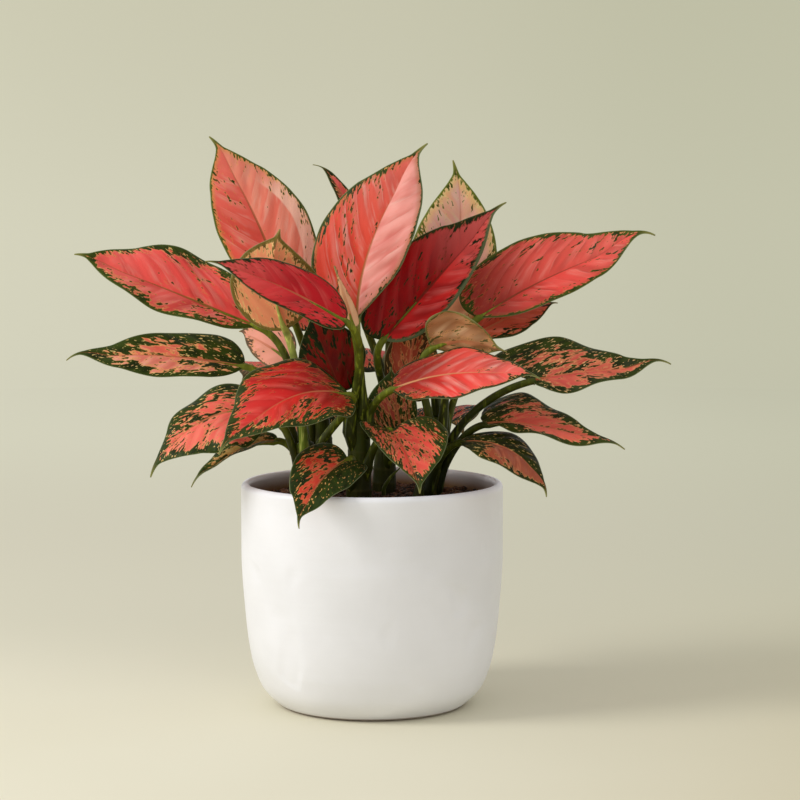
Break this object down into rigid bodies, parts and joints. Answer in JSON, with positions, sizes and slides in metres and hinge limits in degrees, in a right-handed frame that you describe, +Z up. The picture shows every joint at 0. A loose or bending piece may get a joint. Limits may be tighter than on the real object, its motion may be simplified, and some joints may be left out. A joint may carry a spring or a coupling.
{
  "type": "potted chinese evergreen",
  "caption": "Bushy Chinese evergreen with pointed pink, red and green leaves on arching stalks, planted in a round white ceramic pot.",
  "frame": {"origin": "centre of the pot's flat underside", "axes": "+Z up through the pot, -Y towards the front of the plant, +X to the viewer's right"},
  "size_m": [0.4089, 0.257, 0.3906],
  "materials": {
    "ceramic_white": "satin",
    "soil": "matte",
    "cane_green": "satin",
    "leaf_coral": "satin",
    "leaf_crimson": "satin",
    "leaf_pale": "satin",
    "leaf_green": "satin",
    "leaf_cream": "satin"
  },
  "bodies": {
    "root": {"pot": "ceramic_white", "soil": "soil", "cane_centre": "cane_green", "cane_right": "cane_green", "cane_left": "cane_green", "cane_rear": "cane_green", "cane_rear_left": "cane_green", "cane_rear_right": "cane_green", "leaf_front_rim": "leaf_green", "leaf_front_heart": "leaf_coral", "leaf_front_left": "leaf_coral", "leaf_front_right": "leaf_coral", "leaf_magenta_left": "leaf_crimson", "leaf_low_right": "leaf_green", "leaf_lowest_right": "leaf_green", "leaf_mid_right": "leaf_green", "leaf_high_right": "leaf_coral", "leaf_under_right": "leaf_crimson", "leaf_cream_folded": "leaf_cream", "leaf_upper_centre": "leaf_coral", "leaf_upper_dark_right": "leaf_crimson", "leaf_upper_rear_right": "leaf_pale", "leaf_upper_left": "leaf_coral", "leaf_upper_rear": "leaf_crimson", "leaf_high_left": "leaf_coral", "leaf_mid_left": "leaf_green", "leaf_low_left": "leaf_green", "leaf_curled_left": "leaf_green", "leaf_cream_back": "leaf_pale", "leaf_pink_under": "leaf_coral", "leaf_dark_inner": "leaf_crimson", "leaf_red_under": "leaf_crimson", "leaf_new_spear": "leaf_cream", "leaf_inner_low": "leaf_green", "leaf_back_high": "leaf_coral", "leaf_back_high_left": "leaf_coral", "leaf_back_high_right": "leaf_coral", "leaf_back_mid": "leaf_coral", "leaf_back_mid_left": "leaf_green", "leaf_back_mid_right": "leaf_coral", "leaf_back_low_left": "leaf_green", "leaf_back_low_right": "leaf_green", "shoot_small": "cane_green"}
  },
  "joints": []
}
